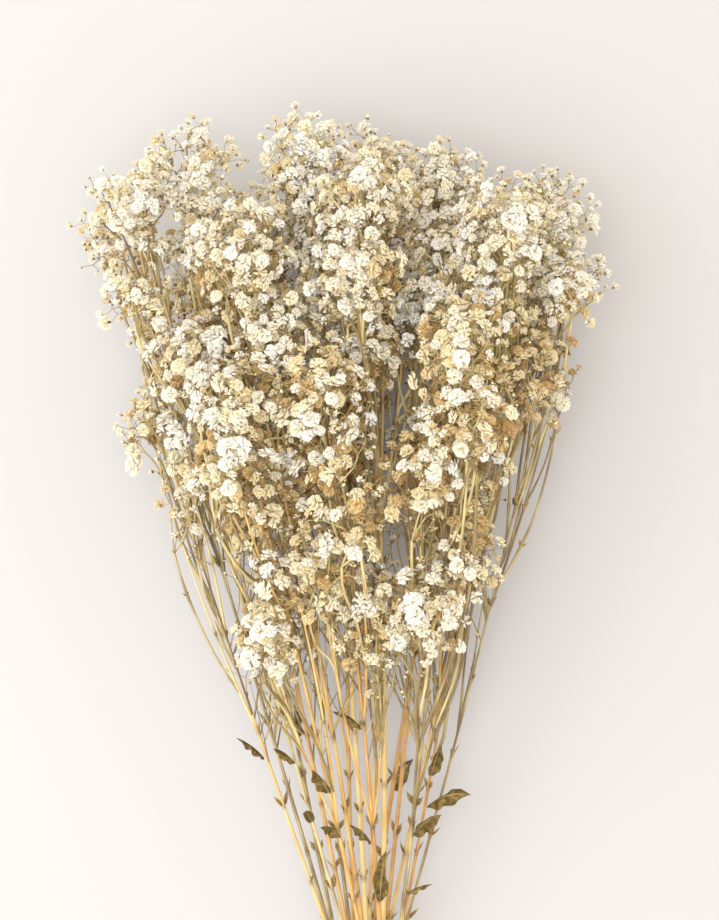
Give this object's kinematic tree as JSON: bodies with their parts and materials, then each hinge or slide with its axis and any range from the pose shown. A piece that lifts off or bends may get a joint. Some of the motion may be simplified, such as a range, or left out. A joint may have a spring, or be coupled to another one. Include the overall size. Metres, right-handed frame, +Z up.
{
  "type": "dried flower bunch",
  "caption": "Fan-shaped bunch of dried baby's breath with small cream double flowers on straw stems, tied with twine and laid on its side.",
  "frame": {"origin": "middle of the bounding box, on the surface that the bunch lies on", "axes": "+Y along the stems towards the flowers, +Z up from the surface, +X to the right seen from above with the flowers away"},
  "size_m": [0.2928, 0.5967, 0.1689],
  "materials": {
    "dry_stem": "dry straw, matt",
    "dry_florets": "papery, matt",
    "dry_leaf": "withered, matt",
    "twine": "twisted jute, matt"
  },
  "bodies": {
    "root": {"stem_01": "dry_stem", "stem_02": "dry_stem", "stem_03": "dry_stem", "stem_04": "dry_stem", "stem_05": "dry_stem", "stem_06": "dry_stem", "stem_07": "dry_stem", "stem_08": "dry_stem", "stem_09": "dry_stem", "stem_10": "dry_stem", "stem_11": "dry_stem", "stem_12": "dry_stem", "stem_13": "dry_stem", "stem_14": "dry_stem", "stem_15": "dry_stem", "stem_16": "dry_stem", "stem_17": "dry_stem", "stem_18": "dry_stem", "stem_19": "dry_stem", "flower_head_01": "dry_florets", "flower_head_02": "dry_florets", "flower_head_03": "dry_florets", "flower_head_04": "dry_florets", "flower_head_05": "dry_florets", "flower_head_06": "dry_florets", "flower_head_07": "dry_florets", "flower_head_08": "dry_florets", "flower_head_09": "dry_florets", "flower_head_10": "dry_florets", "flower_head_11": "dry_florets", "flower_head_12": "dry_florets", "flower_head_13": "dry_florets", "flower_head_14": "dry_florets", "flower_head_15": "dry_florets", "flower_head_16": "dry_florets", "flower_head_17": "dry_florets", "flower_head_18": "dry_florets", "flower_head_19": "dry_florets", "leaf_01": "dry_leaf", "leaf_02": "dry_leaf", "leaf_03": "dry_leaf", "leaf_04": "dry_leaf", "leaf_05": "dry_leaf", "leaf_06": "dry_leaf", "leaf_07": "dry_leaf", "leaf_08": "dry_leaf", "leaf_09": "dry_leaf", "leaf_10": "dry_leaf", "leaf_11": "dry_leaf", "leaf_12": "dry_leaf", "leaf_13": "dry_leaf", "leaf_14": "dry_leaf", "twine_tie": "twine"}
  },
  "joints": []
}
